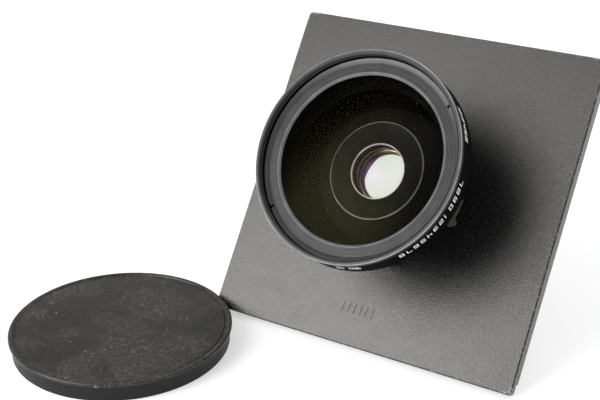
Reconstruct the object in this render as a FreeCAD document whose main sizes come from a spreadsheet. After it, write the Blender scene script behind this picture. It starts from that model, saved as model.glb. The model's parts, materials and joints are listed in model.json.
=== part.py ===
import FreeCAD, Part
import Sketcher
import math
import os
from types import SimpleNamespace

# Large-format wide-angle lens in a size 0 leaf shutter on a square lens board, resting face-up on
# its rear rim with its push-on cap beside it.  Millimetres; +Z is up, the floor is Z = 0 and X runs
# along the width of the board.  Lens pieces are drawn in the lens frame (Z = optical axis, front
# positive, Z = 0 at the front face of the board, +Y up the board) and leaned back by lens_place().
# Sizes of the rear half are kept as distances behind the board.

os.makedirs("parts", exist_ok=True)
doc = FreeCAD.newDocument("view_camera_lens")
Vec = FreeCAD.Vector
Z_AXIS = Vec(0, 0, 1)

# ---------------------------------------------------------------- named sizes
SIZES = {
    # square lens board with its index screw
    "board_side": 140.0, "board_corner": 2.0, "board_bevel": 0.5, "plate_thick": 4.0,
    "board_hole_r": 17.35, "frame_wide": 139.8, "frame_tall": 130.0, "frame_bar": 9.0,
    "frame_thick": 2.0, "lean": 35.72,
    "index_r": 0.9, "index_at": 21.5, "index_long": 2.0, "running_clear": 0.05,
    # flange ring behind the board
    "flange_r": 21.0, "flange_bore_r": 16.3, "flange_thick": 3.0, "flange_bevel": 0.5,
    "wrench_in": 19.4, "wrench_wide": 2.4, "wrench_deep": 1.8,
    # shutter case
    "case_r": 28.5, "case_edge": 0.8, "cavity_r": 26.5, "case_top": 15.0, "case_floor": 3.0,
    "cell_bore_r": 14.8, "spigot_r": 17.25, "spigot_long": 3.5, "thread_r": 16.25,
    "thread_end": 8.0, "thread_bevel": 0.3, "slot_clear": 0.2,
    "post_r": 1.5, "post_at": 24.8, "screw_r": 0.8, "screw_low": 11.0, "screw_long": 4.5,
    "head_r": 1.4, "head_low": 15.2, "head_thick": 0.8, "driver_wide": 0.4, "driver_deep": 0.3,
    "driver_reach": 3.0, "lid_thick": 1.0, "tube_r": 17.0, "tube_low": 11.6, "tube_top": 20.3,
    # iris
    "iris_open_r": 9.6, "iris_out_r": 16.4, "iris_ear_r": 18.5, "iris_pivot_at": 17.3,
    "iris_gap": 0.05, "iris_blade_thick": 0.15, "iris_pitch": 0.2, "iris_hole_r": 10.2,
    "iris_seat_thick": 1.0, "cam_low": 5.6, "cam_thick": 1.0, "cam_clear": 0.4, "ring_out_r": 22.8,
    "pin_r": 0.4, "pin_tall": 1.5, "drive_pin_r": 0.35, "drive_reach": 3.0, "drive_pin_short": 0.1,
    "cam_play": 0.1, "lever_root": 22.0, "lever_reach": 33.0, "lever_wide": 3.0,
    "knob_r": 2.2, "knob_at": 34.0, "knob_tall": 3.4,
    # shutter blades and their drive
    "blade_open_r": 11.05, "blade_out_r": 20.4, "blade_ear_r": 22.6, "blade_pivot_at": 21.4,
    "blade_thick": 0.2, "blade_pitch": 0.25, "blade_gap": 0.1, "plate_low": 7.0,
    "inner_plate_thick": 0.8, "light_hole_r": 11.0, "light_clear": 0.2, "mech_low": 10.6,
    "mech_thick": 1.0, "drive_low": 9.4, "drive_thick": 0.8, "drive_out_r": 23.1,
    "press_tip_thick": 1.2, "press_tip_tall": 4.0,
    # cocking lever and its spring
    "cock_low": 12.0, "cock_thick": 1.0, "cock_out_r": 21.5, "ring_bore_r": 17.05, "arm_wide": 4.0,
    "cock_root": 20.0, "cock_reach": 33.0, "riser_thick": 1.4, "finger_in_r": 31.2,
    "finger_out_r": 34.15, "finger_low": 15.4, "finger_thick": 0.6,
    "spring_r": 19.2, "spring_wire_r": 0.35, "spring_at": 13.55,
    # release lever
    "release_low": 13.4, "release_at": 24.0, "release_root": 20.6, "release_reach": 34.0,
    "release_wide": 4.0, "release_thick": 1.0, "release_tip_wide": 5.0, "release_tip_tall": 4.6,
    "axle_r": 0.8,
    # rings and sockets on the outside of the case
    "speed_low": 16.1, "speed_thick": 2.8, "speed_r": 29.3, "speed_bevel": 0.6,
    "knurl_root_r": 29.0, "knurl_wide": 0.9, "cover_r": 23.0, "cover_gap": 0.05,
    "cover_thick": 0.9, "cover_bevel": 0.4, "scale_r": 31.4, "scale_low": 7.6, "scale_thick": 0.8,
    "socket_at": 8.0, "socket_r": 3.0, "socket_root_r": 2.5, "cable_reach": 35.0,
    "cable_bore_r": 1.5, "cable_bottom": 28.0, "sync_reach": 34.0, "sync_well_r": 2.0,
    "sync_bottom": 27.5, "sync_core_r": 1.3, "sync_core_end": 31.5, "sync_tip_r": 0.5,
    "sync_tip_end": 33.0,
    # cemented doublets
    "neck_r": 14.75, "shoulder_r": 12.9, "shoulder_thick": 0.6, "doublet_r": 13.8,
    "doublet_bore_r": 13.85, "joint_curve": 40.0, "crown_curve": 24.0, "flint_curve": 60.0,
    "front_crown_at": 26.0, "front_joint_at": 18.0, "front_flint_at": 14.5,
    "rear_crown_at": -9.0, "rear_joint_at": -1.0, "rear_flint_at": 0.6,
    # front cell
    "neck_end": 12.6, "collar_low": 20.4, "collar_r": 18.0, "cone_low_r": 22.0, "cone_low": 21.4,
    "cone_top_r": 38.5, "cone_top": 31.6, "band_r": 43.4, "band_bevel": 0.5, "band_low": 39.4,
    "band_top": 48.2, "rim_bevel": 0.3, "rim_top": 50.77, "rim_bore_r": 41.4, "rim_lip": 0.8,
    "rim_lip_deep": 0.6, "thread_low": 47.2, "mouth_r": 41.2, "mouth_floor": 43.0,
    "glass_r": 35.45, "glass_bore_r": 35.5, "glass_seat": 31.4, "seat_in_r": 31.0,
    "glass_front": 50.1, "glass_curve": 135.0, "glass_inner": 45.6, "glass_hollow": 38.8,
    "glass_blank": 20.0, "funnel_r": 24.5, "funnel_low": 29.0,
    "dish_in_r": 13.5, "dish_lip": 0.15, "dish_lip_top": 22.35, "dish_round": 22.5,
    "dish_cone_r": 14.0, "dish_cone": 22.75, "dish_floor_r": 16.4, "dish_out_r": 23.3,
    "dish_low": 22.0, "dish_wall": 26.25, "dish_top": 28.5, "dish_land": 0.6,
    "dish_seat_r": 16.5, "dish_seat": 26.2, "dish_mouth": 28.6,
    "nut_in_r": 39.25, "nut_out_r": 41.15, "nut_top": 46.9, "nut_in_top": 46.25,
    "notch_in": 39.8, "notch_out": 41.0, "notch_wide": 0.9, "notch_low": 45.4,
    "baffle_edge": 46.2, "groove_first": 46.25, "groove_pitch": 0.6, "groove_deep": 0.22,
    "groove_rise": 0.035, "lip_top_r": 35.4, "lip_top": 46.55, "lip_in_r": 34.4, "lip_in": 45.76,
    "lip_under": 45.46,
    # rear cell
    "rear_neck_top": 2.4, "rear_collar": 8.4, "rear_collar_r": 21.5, "rear_cone_r": 22.5,
    "rear_cone": 9.4, "rear_cone_end_r": 33.0, "rear_cone_end": 40.0, "rear_rim_r": 35.0,
    "rear_rim": 42.0, "rear_edge": 0.3, "rear_bore_r": 31.6, "rear_step": 48.5,
    "rear_glass_r": 28.55, "rear_glass_bore_r": 28.6, "rear_seat": 38.5, "rear_seat_in_r": 25.5,
    "rear_funnel_r": 19.0, "rear_funnel": 12.0, "rear_throat": 9.0,
    "rear_glass_back": 52.0, "rear_curve": 90.0, "rear_inner": 47.8, "rear_hollow": 35.6,
    "rear_blank_end": 54.0, "rear_nut_in_r": 27.6, "rear_nut_front": 47.8, "rear_nut_r": 31.55,
    "rear_nut_back": 50.6, "rear_nut_lip_r": 28.4, "rear_nut_lip": 50.0,
    "rear_notch_in": 30.0, "rear_notch_out": 31.4, "rear_notch_wide": 1.0, "rear_notch_deep": 1.0,
    "rear_ring_in": 5.35, "rear_ring_top": 4.8, "rear_ring_end": 7.0, "rear_ring_lip": 6.4,
    "rear_ring_bevel": 0.5,
    # push-on cap, standing on its open rim
    "cap_x": -88.5, "cap_y": -45.6, "cap_tall": 8.3, "cap_lip_r": 46.8, "cap_skirt_r": 45.7,
    "cap_bore_r": 43.6, "cap_ceiling": 6.0, "cap_edge": 0.3, "cap_step": 6.5, "cap_step_top": 6.9,
    "cap_round": 0.4, "cap_land": 1.6, "cap_groove": 2.1, "cap_groove_end": 2.8,
    "cap_face": 3.3, "cap_groove_deep": 0.7, "cap_face_deep": 0.3,
}
V = SimpleNamespace(**SIZES)

IRIS_BLADES = 7
SHUTTER_BLADES = 5
IRIS_SWING = 26.0        # degrees each iris blade turns from wide open to fully stopped down
IRIS_RING_TURN = 36.0    # degrees the aperture lever turns for that swing
IRIS_SPAN = 95.0         # how far round the axis an iris blade and its ear reach
IRIS_EAR_SPAN = 16.0
SHUTTER_SWING = 30.0     # degrees each shutter blade turns from open to shut
SHUTTER_RING_TURN = 25.0
SHUTTER_SPAN = 80.0
SHUTTER_EAR_SPAN = 12.0
LEAF_TAIL = 6.0          # how far each leaf and its ear reach behind their pivot
EAR_TAIL = 4.0
CAM_STEPS = 12
COCKING_SWING = 34.0
RELEASE_SWING = 2.0
SLOT_SPARE = 7.0         # degrees of opening beyond each end of a lever's travel
APERTURE_ARM = 60.0      # direction of each lever at rest, degrees from +X towards the board's top
PRESS_ARM = 150.0
COCKING_ARM = -19.5
FINGER_ROOT = -22.8      # the cocking lever's curved finger, from its root to its tip
FINGER_TIP = -3.0
RELEASE_ARM = -110.0
SCALE_START = 46.0
SCALE_SPAN = 64.0
SPRING_START = 150.0
SPRING_SPAN = 300.0
WRENCH_ANGLES = (45.0, 135.0, 225.0, 315.0)
POST_ANGLES = (15.0, 125.0, 225.0)
CABLE_ANGLE = -85.0
SYNC_ANGLE = 200.0
NOTCH_ANGLES = (42.0, 221.0)
REAR_NOTCH_ANGLES = (90.0, 270.0)
KNURLS = 48
GROOVES = 6
THUMB = ((32.0, -15.8), (32.0, -22.8), (34.2, -22.8), (35.5, -20.9), (36.1, -19.4), (35.9, -17.95),
         (34.9, -17.0), (34.1, -15.8))     # radius and direction of each corner of the thumb tooth
PAST = 0.5               # how far a cutting shape runs past the face it cuts


class Term:
    """A size that knows both its number and the spreadsheet expression that gives it."""

    def __init__(self, text, value):
        self.text = text
        self.value = value

    def __add__(self, other):
        other = term(other)
        return Term("(%s + %s)" % (self.text, other.text), self.value + other.value)

    def __sub__(self, other):
        other = term(other)
        return Term("(%s - %s)" % (self.text, other.text), self.value - other.value)

    def __mul__(self, other):
        other = term(other)
        return Term("(%s * %s)" % (self.text, other.text), self.value * other.value)

    def __neg__(self):
        return Term("(0 - %s)" % self.text, -self.value)


def term(number):
    if isinstance(number, Term):
        return number
    return Term("(%.6f)" % number, float(number))


def fill_sheet():
    sheet = doc.addObject("Spreadsheet::Sheet", "sizes")
    named = {}
    for row, (name, value) in enumerate(SIZES.items(), start=1):
        sheet.set("A%d" % row, name)
        sheet.set("B%d" % row, str(value))
        sheet.setAlias("B%d" % row, name)
        named[name] = Term("sizes." + name, value)
    doc.recompute()
    return SimpleNamespace(**named)


S = fill_sheet()

# ---------------------------------------------------------------- placing
LEAN = math.radians(V.lean)
HALF_BOARD = V.board_side / 2
FOOT_Y = HALF_BOARD * math.sin(LEAN) - V.plate_thick * math.cos(LEAN)
FOOT_Z = HALF_BOARD * math.cos(LEAN) + V.plate_thick * math.sin(LEAN)
REAR_TOUCH = V.plate_thick + (HALF_BOARD - V.rear_rim_r) / math.tan(LEAN)
REAR_END = REAR_TOUCH + V.rear_edge


def reach_back(behind, radius):
    """Row Y of a point at the top of the rear cell, before the row is centred."""
    return FOOT_Y + behind * math.cos(LEAN) + radius * math.sin(LEAN)


def row_shift():
    """Move the origin to the middle of the whole row's footprint."""
    left = V.cap_x - V.cap_lip_r
    near = V.cap_y - V.cap_lip_r
    far = max(reach_back(REAR_TOUCH, V.rear_rim_r), reach_back(REAR_END, V.rear_rim_r - V.rear_edge))
    return Vec(-(left + HALF_BOARD) / 2, -(near + far) / 2, 0)


SHIFT = row_shift()


def lens_place(turn=0.0, lift=0.0):
    """Lens frame to row frame, after turning about the optical axis and lifting along it."""
    lean = FreeCAD.Rotation(Vec(1, 0, 0), 90 - V.lean)
    leaned = FreeCAD.Placement(Vec(0, FOOT_Y, FOOT_Z) + SHIFT, lean)
    return leaned.multiply(FreeCAD.Placement(Vec(0, 0, lift), FreeCAD.Rotation(Z_AXIS, turn)))


def polar(radius, degrees, height=0.0):
    angle = math.radians(degrees)
    return Vec(radius * math.cos(angle), radius * math.sin(angle), height)


def flat(radius, degrees):
    return tuple(polar(radius, degrees))[:2]


# ---------------------------------------------------------------- drawing helpers
def bind(thing, prop, size):
    thing.setExpression(prop, term(size).text)


def origin_plane(body, role):
    return [plane for plane in body.Origin.OriginFeatures if plane.Role == role][0]


def outline_sketch(body, name, role, points):
    """Closed polygon whose every corner is held at its own named distances from the origin."""
    sketch = body.newObject("Sketcher::SketchObject", name)
    sketch.AttachmentSupport = [(origin_plane(body, role), "")]
    sketch.MapMode = "FlatFace"
    corners = [(term(across), term(up)) for across, up in points]
    for index, (across, up) in enumerate(corners):
        beyond = corners[(index + 1) % len(corners)]
        start = Vec(across.value, up.value, 0)
        sketch.addGeometry(Part.LineSegment(start, Vec(beyond[0].value, beyond[1].value, 0)), False)
    for index, (across, up) in enumerate(corners):
        join_corner(sketch, index, (index + 1) % len(corners))
        hold_corner(sketch, index, "DistanceX", across)
        hold_corner(sketch, index, "DistanceY", up)
    return sketch


def join_corner(sketch, line, following):
    sketch.addConstraint(Sketcher.Constraint("Coincident", line, 2, following, 1))


def hold_corner(sketch, line, kind, size):
    number = sketch.addConstraint(Sketcher.Constraint(kind, -1, 1, line, 1, size.value))
    sketch.setExpression("Constraints[%d]" % number, size.text)


def turned(label, points):
    """Ring or barrel turned about the Z axis from (radius, height) corners."""
    body = doc.addObject("PartDesign::Body", label)
    sketch = outline_sketch(body, label + "_outline", "XZ_Plane", points)
    ring = body.newObject("PartDesign::Revolution", label + "_turned")
    ring.Profile = sketch
    ring.ReferenceAxis = (sketch, ["V_Axis"])
    ring.Angle = 360
    body.Tip = ring
    return body


def washer(label, bore, out, low, thick):
    """Plain flat ring."""
    return turned(label, [(bore, low), (out, low), (out, low + thick), (bore, low + thick)])


def padded(label, points, low, thick):
    """Flat piece of the given plan outline, from height low upwards."""
    body = doc.addObject("PartDesign::Body", label)
    sketch = outline_sketch(body, label + "_plan", "XY_Plane", points)
    sketch.setExpression("AttachmentOffset.Base.z", term(low).text)
    pad = body.newObject("PartDesign::Pad", label + "_pad")
    pad.Profile = sketch
    bind(pad, "Length", thick)
    body.Tip = pad
    return body


def rod(label, radius, low, tall, angle=360.0, at=(0.0, 0.0), turn=0.0):
    piece = doc.addObject("Part::Cylinder", label)
    bind(piece, "Radius", radius)
    bind(piece, "Height", tall)
    piece.Angle = angle
    spin = FreeCAD.Rotation(Z_AXIS, turn)
    piece.Placement = FreeCAD.Placement(Vec(at[0], at[1], term(low).value), spin)
    piece.setExpression("Placement.Base.z", term(low).text)
    return piece


def ball(label, radius, centre):
    piece = doc.addObject("Part::Sphere", label)
    bind(piece, "Radius", radius)
    piece.setExpression("Placement.Base.z", term(centre).text)
    return piece


def bar(label, direction, near, far, wide, low, thick):
    """Straight bar pointing outwards along a direction, between two radii."""
    piece = doc.addObject("Part::Box", label)
    bind(piece, "Length", term(far) - near)
    bind(piece, "Width", wide)
    bind(piece, "Height", thick)
    spin = FreeCAD.Rotation(Z_AXIS, direction)
    corner = spin.multVec(Vec(term(near).value, -term(wide).value / 2, 0))
    piece.Placement = FreeCAD.Placement(Vec(corner.x, corner.y, term(low).value), spin)
    return piece


def spoke(label, direction, near, far, radius, height):
    """Round bar pointing outwards along a direction at one height."""
    piece = doc.addObject("Part::Cylinder", label)
    bind(piece, "Radius", radius)
    bind(piece, "Height", term(far) - near)
    tip = FreeCAD.Rotation(Vec(0, 1, 0), 90)
    spin = FreeCAD.Rotation(Z_AXIS, direction).multiply(tip)
    piece.Placement = FreeCAD.Placement(polar(term(near).value, direction, height), spin)
    return piece


def fused(label, pieces):
    joined = doc.addObject("Part::MultiFuse", label)
    joined.Shapes = pieces
    return joined


def grouped(label, pieces):
    group = doc.addObject("Part::Compound", label)
    group.Links = pieces
    return group


def cut(label, base, tool):
    result = doc.addObject("Part::Cut", label)
    result.Base = base
    result.Tool = tool
    return result


def common(label, pieces):
    result = doc.addObject("Part::MultiCommon", label)
    result.Shapes = pieces
    return result


NODES = {}


def keep(node, piece, place=None):
    """File a finished sub-part under its node name at its place in the row."""
    piece.Label = node
    piece.Placement = place if place is not None else lens_place()
    NODES[node] = piece


# ---------------------------------------------------------------- lens board
def board_blank():
    half = S.board_side * 0.5
    square = [(-half, -half), (half, -half), (half, half), (-half, half)]
    body = padded("plate_blank", square, -S.plate_thick, S.plate_thick)
    doc.recompute()
    pad = body.Tip
    edges = list(enumerate(pad.Shape.Edges, 1))
    upright = [i for i, edge in edges if edge.tangentAt(0).cross(Z_AXIS).Length < 0.01]
    corners = body.newObject("PartDesign::Fillet", "plate_corners")
    corners.Base = (pad, ["Edge%d" % i for i in upright])
    bind(corners, "Radius", S.board_corner)
    body.Tip = corners
    return body


def bevel_front_edges(body):
    doc.recompute()
    rounded = body.Tip
    edges = list(enumerate(rounded.Shape.Edges, 1))
    front = [i for i, edge in edges if abs(edge.BoundBox.ZMin) < 1e-6]
    bevel = body.newObject("PartDesign::Chamfer", "plate_bevel")
    bevel.Base = (rounded, ["Edge%d" % i for i in front])
    bind(bevel, "Size", S.board_bevel)
    body.Tip = bevel


def board_plate():
    body = board_blank()
    bevel_front_edges(body)
    hole = rod("plate_hole", S.board_hole_r, -S.plate_thick - PAST, S.plate_thick + 2 * PAST)
    notch = rod("plate_index_hole", S.index_r + S.running_clear, -S.index_long - S.running_clear,
                S.index_long + 2 * PAST, at=(0, -V.index_at))
    keep("board_plate", cut("plate_drilled", body, fused("plate_holes", [hole, notch])))


def light_trap_frame():
    outer = doc.addObject("Part::Box", "frame_outer")
    inner = doc.addObject("Part::Box", "frame_inner")
    for piece, trim in ((outer, term(0)), (inner, S.frame_bar)):
        wide = S.frame_wide - trim * 2
        tall = S.frame_tall - trim * 2
        bind(piece, "Length", wide)
        bind(piece, "Width", tall)
        bind(piece, "Height", S.frame_thick)
        bind(piece, "Placement.Base.x", wide * -0.5)
        bind(piece, "Placement.Base.y", tall * -0.5)
        bind(piece, "Placement.Base.z", -(S.plate_thick + S.frame_thick))
    keep("light_trap_frame", cut("frame_ring", outer, inner))


def flange_ring():
    top = -S.plate_thick
    low = top - S.flange_thick
    bevelled = S.flange_r - S.flange_bevel
    blank = turned("flange_blank", [(S.flange_bore_r, low), (bevelled, low),
                                    (S.flange_r, low + S.flange_bevel), (S.flange_r, top),
                                    (S.flange_bore_r, top)])
    slots = [bar("flange_slot_%d" % number, angle, S.wrench_in, S.flange_r + PAST, S.wrench_wide,
                 low - PAST, S.wrench_deep + PAST) for number, angle in enumerate(WRENCH_ANGLES, 1)]
    keep("flange_ring", cut("flange_slotted", blank, fused("flange_slots", slots)))


def index_screw():
    pin = rod("index_pin", S.index_r, -S.index_long, S.index_long, at=(0, -V.index_at))
    keep("index_screw", grouped("index_screw_set", [pin]))


# ---------------------------------------------------------------- shutter case
def arm_slot(label, first, last, low, thick):
    """Opening through the case wall that a lever arm sweeps in."""
    sweep = last - first + 2 * SLOT_SPARE
    return rod(label, S.case_r + PAST, low - S.slot_clear, thick + S.slot_clear * 2, angle=sweep,
               turn=first - SLOT_SPARE)


def wall_hole(label, direction):
    return spoke(label, direction, V.cavity_r - PAST, V.case_r + PAST, S.socket_root_r, V.socket_at)


def case_blank():
    return turned("case_blank", [
        (S.cell_bore_r, -S.thread_end), (S.thread_r - S.thread_bevel, -S.thread_end),
        (S.thread_r, S.thread_bevel - S.thread_end), (S.thread_r, -S.spigot_long),
        (S.spigot_r, -S.spigot_long), (S.spigot_r, 0), (S.case_r - S.case_edge, 0),
        (S.case_r, S.case_edge), (S.case_r, S.case_top), (S.cavity_r, S.case_top),
        (S.cavity_r, S.case_floor), (S.cell_bore_r, S.case_floor)])


def shutter_case():
    tools = [
        arm_slot("aperture_slot", APERTURE_ARM, APERTURE_ARM + IRIS_RING_TURN, S.cam_low, S.cam_thick),
        arm_slot("press_slot", PRESS_ARM, PRESS_ARM + SHUTTER_RING_TURN, S.drive_low, S.drive_thick),
        arm_slot("cocking_slot", COCKING_ARM - COCKING_SWING, COCKING_ARM, S.cock_low, S.cock_thick),
        arm_slot("release_slot", RELEASE_ARM - RELEASE_SWING, RELEASE_ARM + RELEASE_SWING,
                 S.release_low, S.release_thick),
        wall_hole("cable_hole", CABLE_ANGLE),
        wall_hole("sync_hole", SYNC_ANGLE),
    ]
    keep("shutter_housing", cut("case_cut", case_blank(), fused("case_openings", tools)))


def at_posts(prefix, radius, low, tall):
    """One upright cylinder on each of the three posts."""
    return [rod("%s_%d" % (prefix, number), radius, low, tall, at=flat(V.post_at, angle))
            for number, angle in enumerate(POST_ANGLES, 1)]


def posts(prefix):
    return at_posts(prefix, S.post_r, S.case_floor, S.case_top - S.case_floor)


def screw_shanks(prefix):
    return at_posts(prefix, S.screw_r, S.screw_low, S.screw_long)


def screw_heads(prefix):
    return at_posts(prefix, S.head_r, S.head_low, S.head_thick)


def housing_posts():
    bores = fused("post_bores", screw_shanks("bore"))
    keep("housing_posts", cut("posts_drilled", fused("posts_solid", posts("post")), bores))


def front_plate():
    lid_top = S.case_top + S.lid_thick
    blank = turned("lid_blank", [
        (S.cell_bore_r, S.tube_low), (S.tube_r, S.tube_low), (S.tube_r, S.case_top),
        (S.case_r, S.case_top), (S.case_r, lid_top), (S.tube_r, lid_top), (S.tube_r, S.tube_top),
        (S.cell_bore_r, S.tube_top)])
    seats = fused("lid_seats", screw_heads("lid_sink") + screw_shanks("lid_bore"))
    keep("front_plate", cut("lid_drilled", blank, seats))


def front_plate_screws():
    screws = fused("lid_screws", screw_heads("lid_head") + screw_shanks("lid_shank"))
    near = S.post_at - S.driver_reach
    far = S.post_at + S.driver_reach
    low = S.head_low + S.head_thick - S.driver_deep
    slots = [bar("lid_slot_%d" % number, angle, near, far, S.driver_wide, low, S.driver_deep + PAST)
             for number, angle in enumerate(POST_ANGLES, 1)]
    keep("front_plate_screws", cut("lid_screws_slotted", screws, fused("lid_screw_slots", slots)))


def inner_plate(node, bore, low, thick):
    """Fixed disc inside the case, notched round the three posts."""
    blank = washer(node + "_blank", bore, S.cavity_r, low, thick)
    keep(node, cut(node + "_notched", blank, fused(node + "_notches", posts(node + "_post"))))


def mechanism_plate():
    inner_plate("mechanism_plate", S.light_hole_r + S.light_clear, S.mech_low, S.mech_thick)


# ---------------------------------------------------------------- iris and shutter leaves
def leaf(node, index, count, part, layer, top):
    """Curved leaf with an ear, its pivot hole and the drive pin that reaches into its ring."""
    pivot = part["pivot"].value
    strip = rod(node + "_strip", part["out_r"], 0, part["thick"], angle=part["span"] + LEAF_TAIL,
                turn=-LEAF_TAIL)
    ear = rod(node + "_ear", part["ear_r"], 0, part["thick"], angle=part["ear_span"] + EAR_TAIL,
              turn=-EAR_TAIL)
    clear = rod(node + "_clear", part["open_r"], -PAST, part["thick"] + 2 * PAST)
    hole = rod(node + "_hole", S.pin_r + S.running_clear, -PAST, part["thick"] + 2 * PAST, at=(pivot, 0))
    blank = fused(node + "_blank", [strip, ear])
    sheet = cut(node + "_sheet", blank, fused(node + "_holes", [clear, hole]))
    pin = rod(node + "_pin", S.drive_pin_r, 0, top - layer, at=(pivot, V.drive_reach))
    keep(node, fused(node + "_leaf", [sheet, pin]), lens_place(360.0 * index / count, layer.value))


def ring_of_pins(node, count, at, low):
    pins = [rod("%s_%d" % (node, k + 1), S.pin_r, low, S.pin_tall, at=flat(at, 360.0 * k / count))
            for k in range(count)]
    keep(node, grouped(node + "_set", pins))


def cam_track(pivot, swing, turn, low):
    """Path of a drive pin as seen from its ring, while the ring turns and the leaf swings."""
    track = []
    for step in range(CAM_STEPS + 1):
        done = step / CAM_STEPS
        angle = math.radians(swing * done)
        across = pivot - V.drive_reach * math.sin(angle)
        point = Vec(across, V.drive_reach * math.cos(angle), low)
        track.append(FreeCAD.Rotation(Z_AXIS, -turn * done).multVec(point))
    return Part.makePolygon(track)


def cam_slots(name, count, line, thick):
    """Curved slots that let the drive pins through their ring."""
    edge = line.makeOffset2D(V.drive_pin_r + V.cam_play, 0, False, False, False)
    slot = Part.Face(edge).extrude(Vec(0, 0, thick))
    pieces = []
    for k in range(count):
        piece = slot.copy()
        piece.rotate(Vec(0, 0, 0), Z_AXIS, 360.0 * k / count)
        pieces.append(piece)
    holder = doc.addObject("Part::Feature", name)
    holder.Shape = Part.makeCompound(pieces)
    return holder


def iris_leaves():
    seat_top = S.case_floor + S.iris_seat_thick
    seat = washer("iris_seat", S.iris_hole_r, S.ring_out_r, S.case_floor, S.iris_seat_thick)
    keep("iris_base_ring", seat)
    ring_of_pins("iris_pivot_pins", IRIS_BLADES, V.iris_pivot_at, seat_top)
    part = {"out_r": S.iris_out_r, "ear_r": S.iris_ear_r, "open_r": S.iris_open_r, "span": IRIS_SPAN,
            "ear_span": IRIS_EAR_SPAN, "pivot": S.iris_pivot_at, "thick": S.iris_blade_thick}
    top = S.cam_low + S.cam_thick - S.drive_pin_short
    for k in range(IRIS_BLADES):
        layer = seat_top + S.iris_gap + S.iris_pitch * k
        leaf("iris_blade_%d" % (k + 1), k, IRIS_BLADES, part, layer, top)


def iris_cam_ring():
    ring = washer("cam_blank", S.iris_hole_r + S.cam_clear, S.ring_out_r, S.cam_low, S.cam_thick)
    line = cam_track(V.iris_pivot_at, IRIS_SWING, IRIS_RING_TURN, V.cam_low - PAST)
    slots = cam_slots("iris_cam_slots", IRIS_BLADES, line, V.cam_thick + 2 * PAST)
    keep("iris_cam_ring", cut("cam_slotted", ring, slots))


def aperture_lever():
    arm = bar("aperture_arm", APERTURE_ARM, S.lever_root, S.lever_reach, S.lever_wide, S.cam_low,
              S.cam_thick)
    knob = rod("aperture_knob", S.knob_r, S.cam_low, S.knob_tall, at=flat(V.knob_at, APERTURE_ARM))
    ring_room = rod("aperture_arm_end", S.ring_out_r, S.cam_low - PAST, S.cam_thick + 2 * PAST)
    keep("aperture_lever", cut("aperture_pointer", fused("aperture_arm_knob", [arm, knob]), ring_room))


def shutter_leaves():
    plate_top = S.plate_low + S.inner_plate_thick
    inner_plate("shutter_base_plate", S.light_hole_r, S.plate_low, S.inner_plate_thick)
    ring_of_pins("shutter_pivot_pins", SHUTTER_BLADES, V.blade_pivot_at, plate_top)
    part = {"out_r": S.blade_out_r, "ear_r": S.blade_ear_r, "open_r": S.blade_open_r,
            "span": SHUTTER_SPAN, "ear_span": SHUTTER_EAR_SPAN, "pivot": S.blade_pivot_at,
            "thick": S.blade_thick}
    top = S.drive_low + S.drive_thick - S.drive_pin_short
    for k in range(SHUTTER_BLADES):
        layer = plate_top + S.blade_gap + S.blade_pitch * k
        leaf("shutter_blade_%d" % (k + 1), k, SHUTTER_BLADES, part, layer, top)


def press_focus_lever():
    low = S.drive_low
    ring = washer("drive_blank", S.light_hole_r + S.light_clear, S.drive_out_r, low, S.drive_thick)
    line = cam_track(V.blade_pivot_at, SHUTTER_SWING, SHUTTER_RING_TURN, V.drive_low - PAST)
    slots = cam_slots("drive_cam_slots", SHUTTER_BLADES, line, V.drive_thick + 2 * PAST)
    slotted = cut("drive_slotted", ring, slots)
    arm = bar("press_arm", PRESS_ARM, S.lever_root, S.lever_reach, S.lever_wide, low, S.drive_thick)
    tip_root = S.lever_reach - S.press_tip_thick
    tip = bar("press_tip", PRESS_ARM, tip_root, S.lever_reach, S.lever_wide, low, S.press_tip_tall)
    keep("press_focus_lever", fused("press_lever", [slotted, arm, tip]))


# ---------------------------------------------------------------- shutter controls
def curved_finger():
    """Thin finger that runs round the case at one radius."""
    outer = rod("cock_finger_outer", S.finger_out_r, S.finger_low, S.finger_thick,
                angle=FINGER_TIP - FINGER_ROOT, turn=FINGER_ROOT)
    inner = rod("cock_finger_inner", S.finger_in_r, S.finger_low - PAST, S.finger_thick + 2 * PAST)
    return cut("cock_finger", outer, inner)


def cocking_lever():
    ring = washer("cock_ring", S.ring_bore_r, S.cock_out_r, S.cock_low, S.cock_thick)
    arm = bar("cock_arm", COCKING_ARM, S.cock_root, S.cock_reach, S.arm_wide, S.cock_low, S.cock_thick)
    riser_top = S.finger_low + S.finger_thick
    riser = bar("cock_riser", COCKING_ARM, S.cock_reach - S.riser_thick, S.cock_reach, S.arm_wide,
                S.cock_low, riser_top - S.cock_low)
    tooth = [flat(radius, angle) for radius, angle in THUMB]
    thumb = padded("cock_thumb", tooth, S.finger_low, S.finger_thick)
    keep("cocking_lever", fused("cock_lever", [ring, arm, riser, thumb, curved_finger()]))


def cocking_spring():
    wire = doc.addObject("Part::Torus", "spring_wire")
    bind(wire, "Radius1", S.spring_r)
    bind(wire, "Radius2", S.spring_wire_r)
    wire.Angle3 = SPRING_SPAN
    keep("cocking_spring", wire, lens_place(SPRING_START, V.spring_at))


def release_lever():
    arm = bar("release_arm", RELEASE_ARM, S.release_root, S.release_reach, S.release_wide,
              S.release_low, S.release_thick)
    tip = bar("release_tip", RELEASE_ARM, S.release_reach - S.press_tip_thick, S.release_reach,
              S.release_tip_wide, S.release_low, S.release_tip_tall)
    hole = rod("release_hole", S.axle_r + S.running_clear, S.release_low - PAST,
               S.release_thick + 2 * PAST, at=flat(V.release_at, RELEASE_ARM))
    keep("release_lever", cut("release_piece", fused("release_blank", [arm, tip]), hole))


def release_pivot():
    low = S.mech_low + S.mech_thick
    pin = rod("release_axle", S.axle_r, low, S.case_top - low, at=flat(V.release_at, RELEASE_ARM))
    keep("release_pivot", grouped("release_axle_set", [pin]))


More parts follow.
